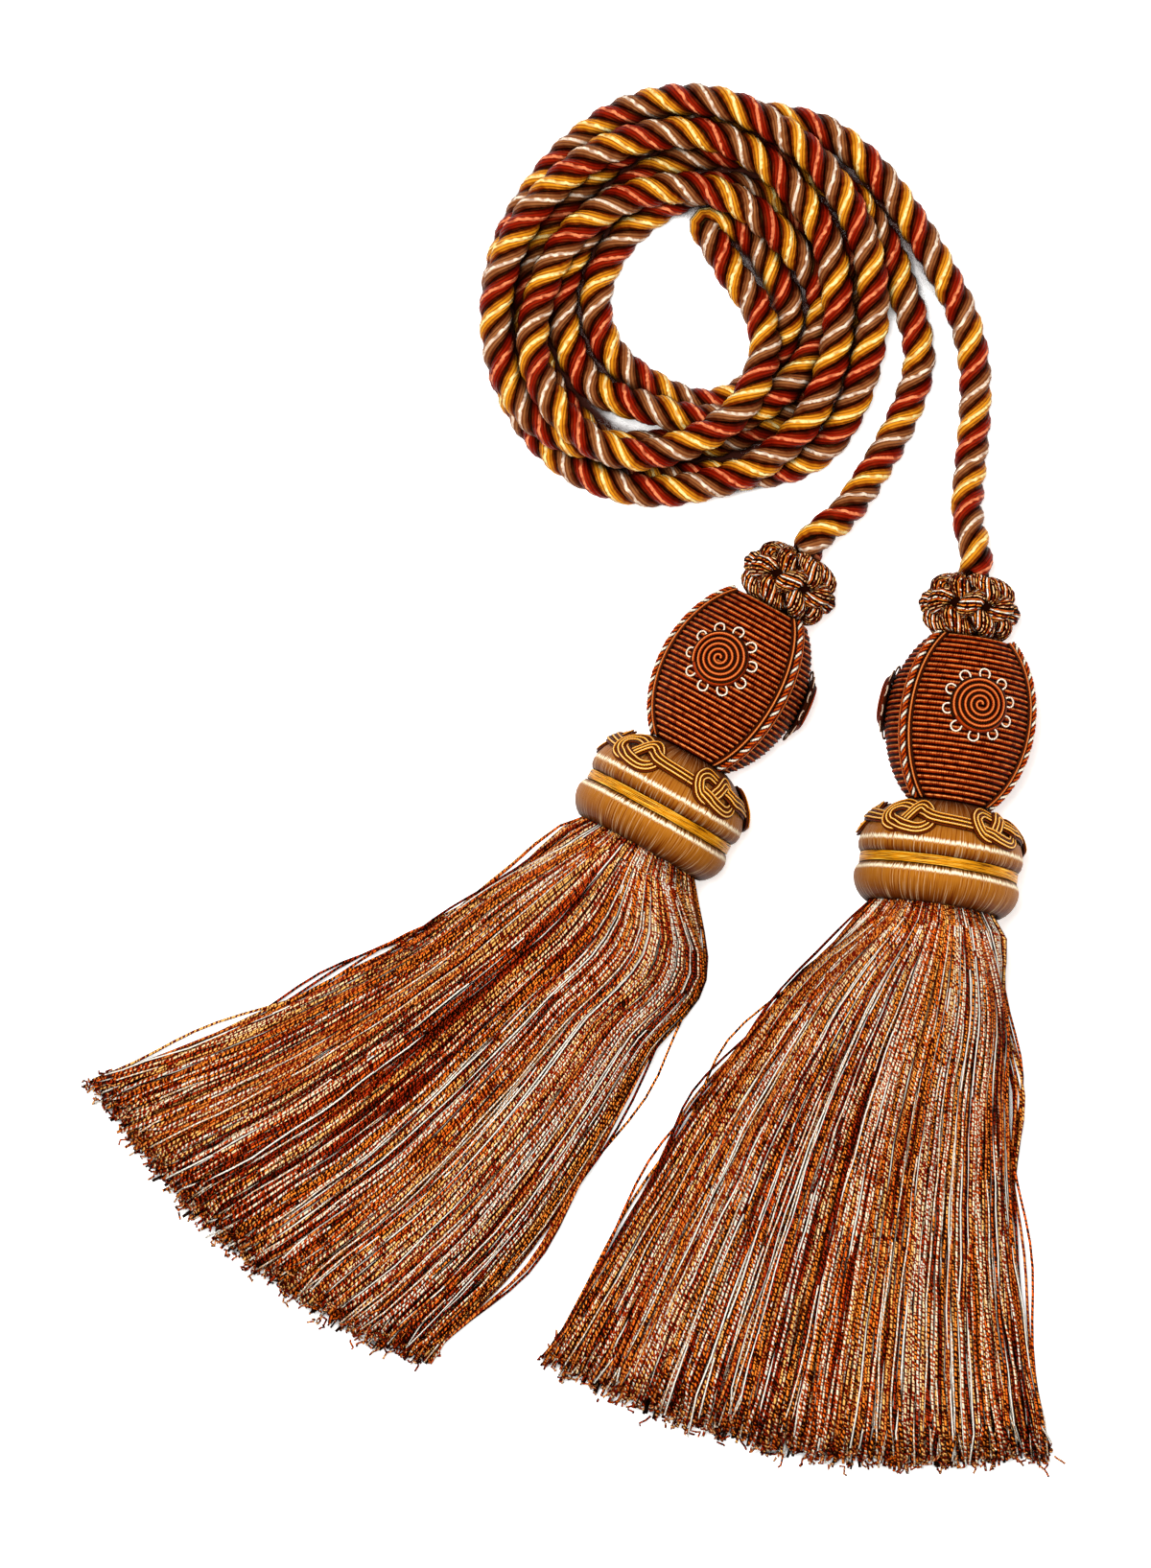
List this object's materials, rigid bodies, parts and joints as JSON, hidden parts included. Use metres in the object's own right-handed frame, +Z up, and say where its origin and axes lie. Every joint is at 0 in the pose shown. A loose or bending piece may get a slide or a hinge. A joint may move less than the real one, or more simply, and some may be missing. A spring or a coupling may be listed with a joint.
{
  "type": "curtain tieback tassel",
  "caption": "Curtain tieback: a coiled three-strand cord with a key tassel on each end, each with a knotted head, ribbed egg-shaped mould, banded cap and fanned yarn skirt.",
  "frame": {"origin": "under the middle of the two tassels' extent, on the surface they lie on; the cord isn't counted", "axes": "+Z up from the surface, +Y from the skirts towards the coiled cord, +X to the right seen from above"},
  "size_m": [0.3, 0.4332, 0.0563],
  "materials": {
    "cord": "satin three-strand twisted viscose cord in deep red, gold and taupe",
    "knot": "ball of interlaced thread-wrapped cords in mixed red, gold and cream",
    "egg": "rust gimp cord wound round a mould in close ribs",
    "border": "twisted cream and red cord between two gimp cords",
    "medallion": "coiled rust gimp with a ring of cream loops",
    "cap": "light gold satin threads laid lengthwise over a mould",
    "band": "wound metallic gold thread",
    "trim": "doubled gimp cord in gold, cream and red, tied in flat knots",
    "skirt": "cut twisted viscose yarns in red, gold and taupe"
  },
  "bodies": {
    "root": {"knot_left": "knot", "egg_left": "egg", "border_left_1": "border", "border_left_2": "border", "border_left_3": "border", "medallion_left_1": "medallion", "medallion_left_2": "medallion", "medallion_left_3": "medallion", "cap_left": "cap", "band_left": "band", "trim_left": "trim", "skirt_left": "skirt", "knot_right": "knot", "egg_right": "egg", "border_right_1": "border", "border_right_2": "border", "border_right_3": "border", "medallion_right_1": "medallion", "medallion_right_2": "medallion", "medallion_right_3": "medallion", "cap_right": "cap", "band_right": "band", "trim_right": "trim", "skirt_right": "skirt", "rope_coil": "cord", "rope_tail_left": "cord", "rope_tail_right": "cord"}
  },
  "joints": []
}
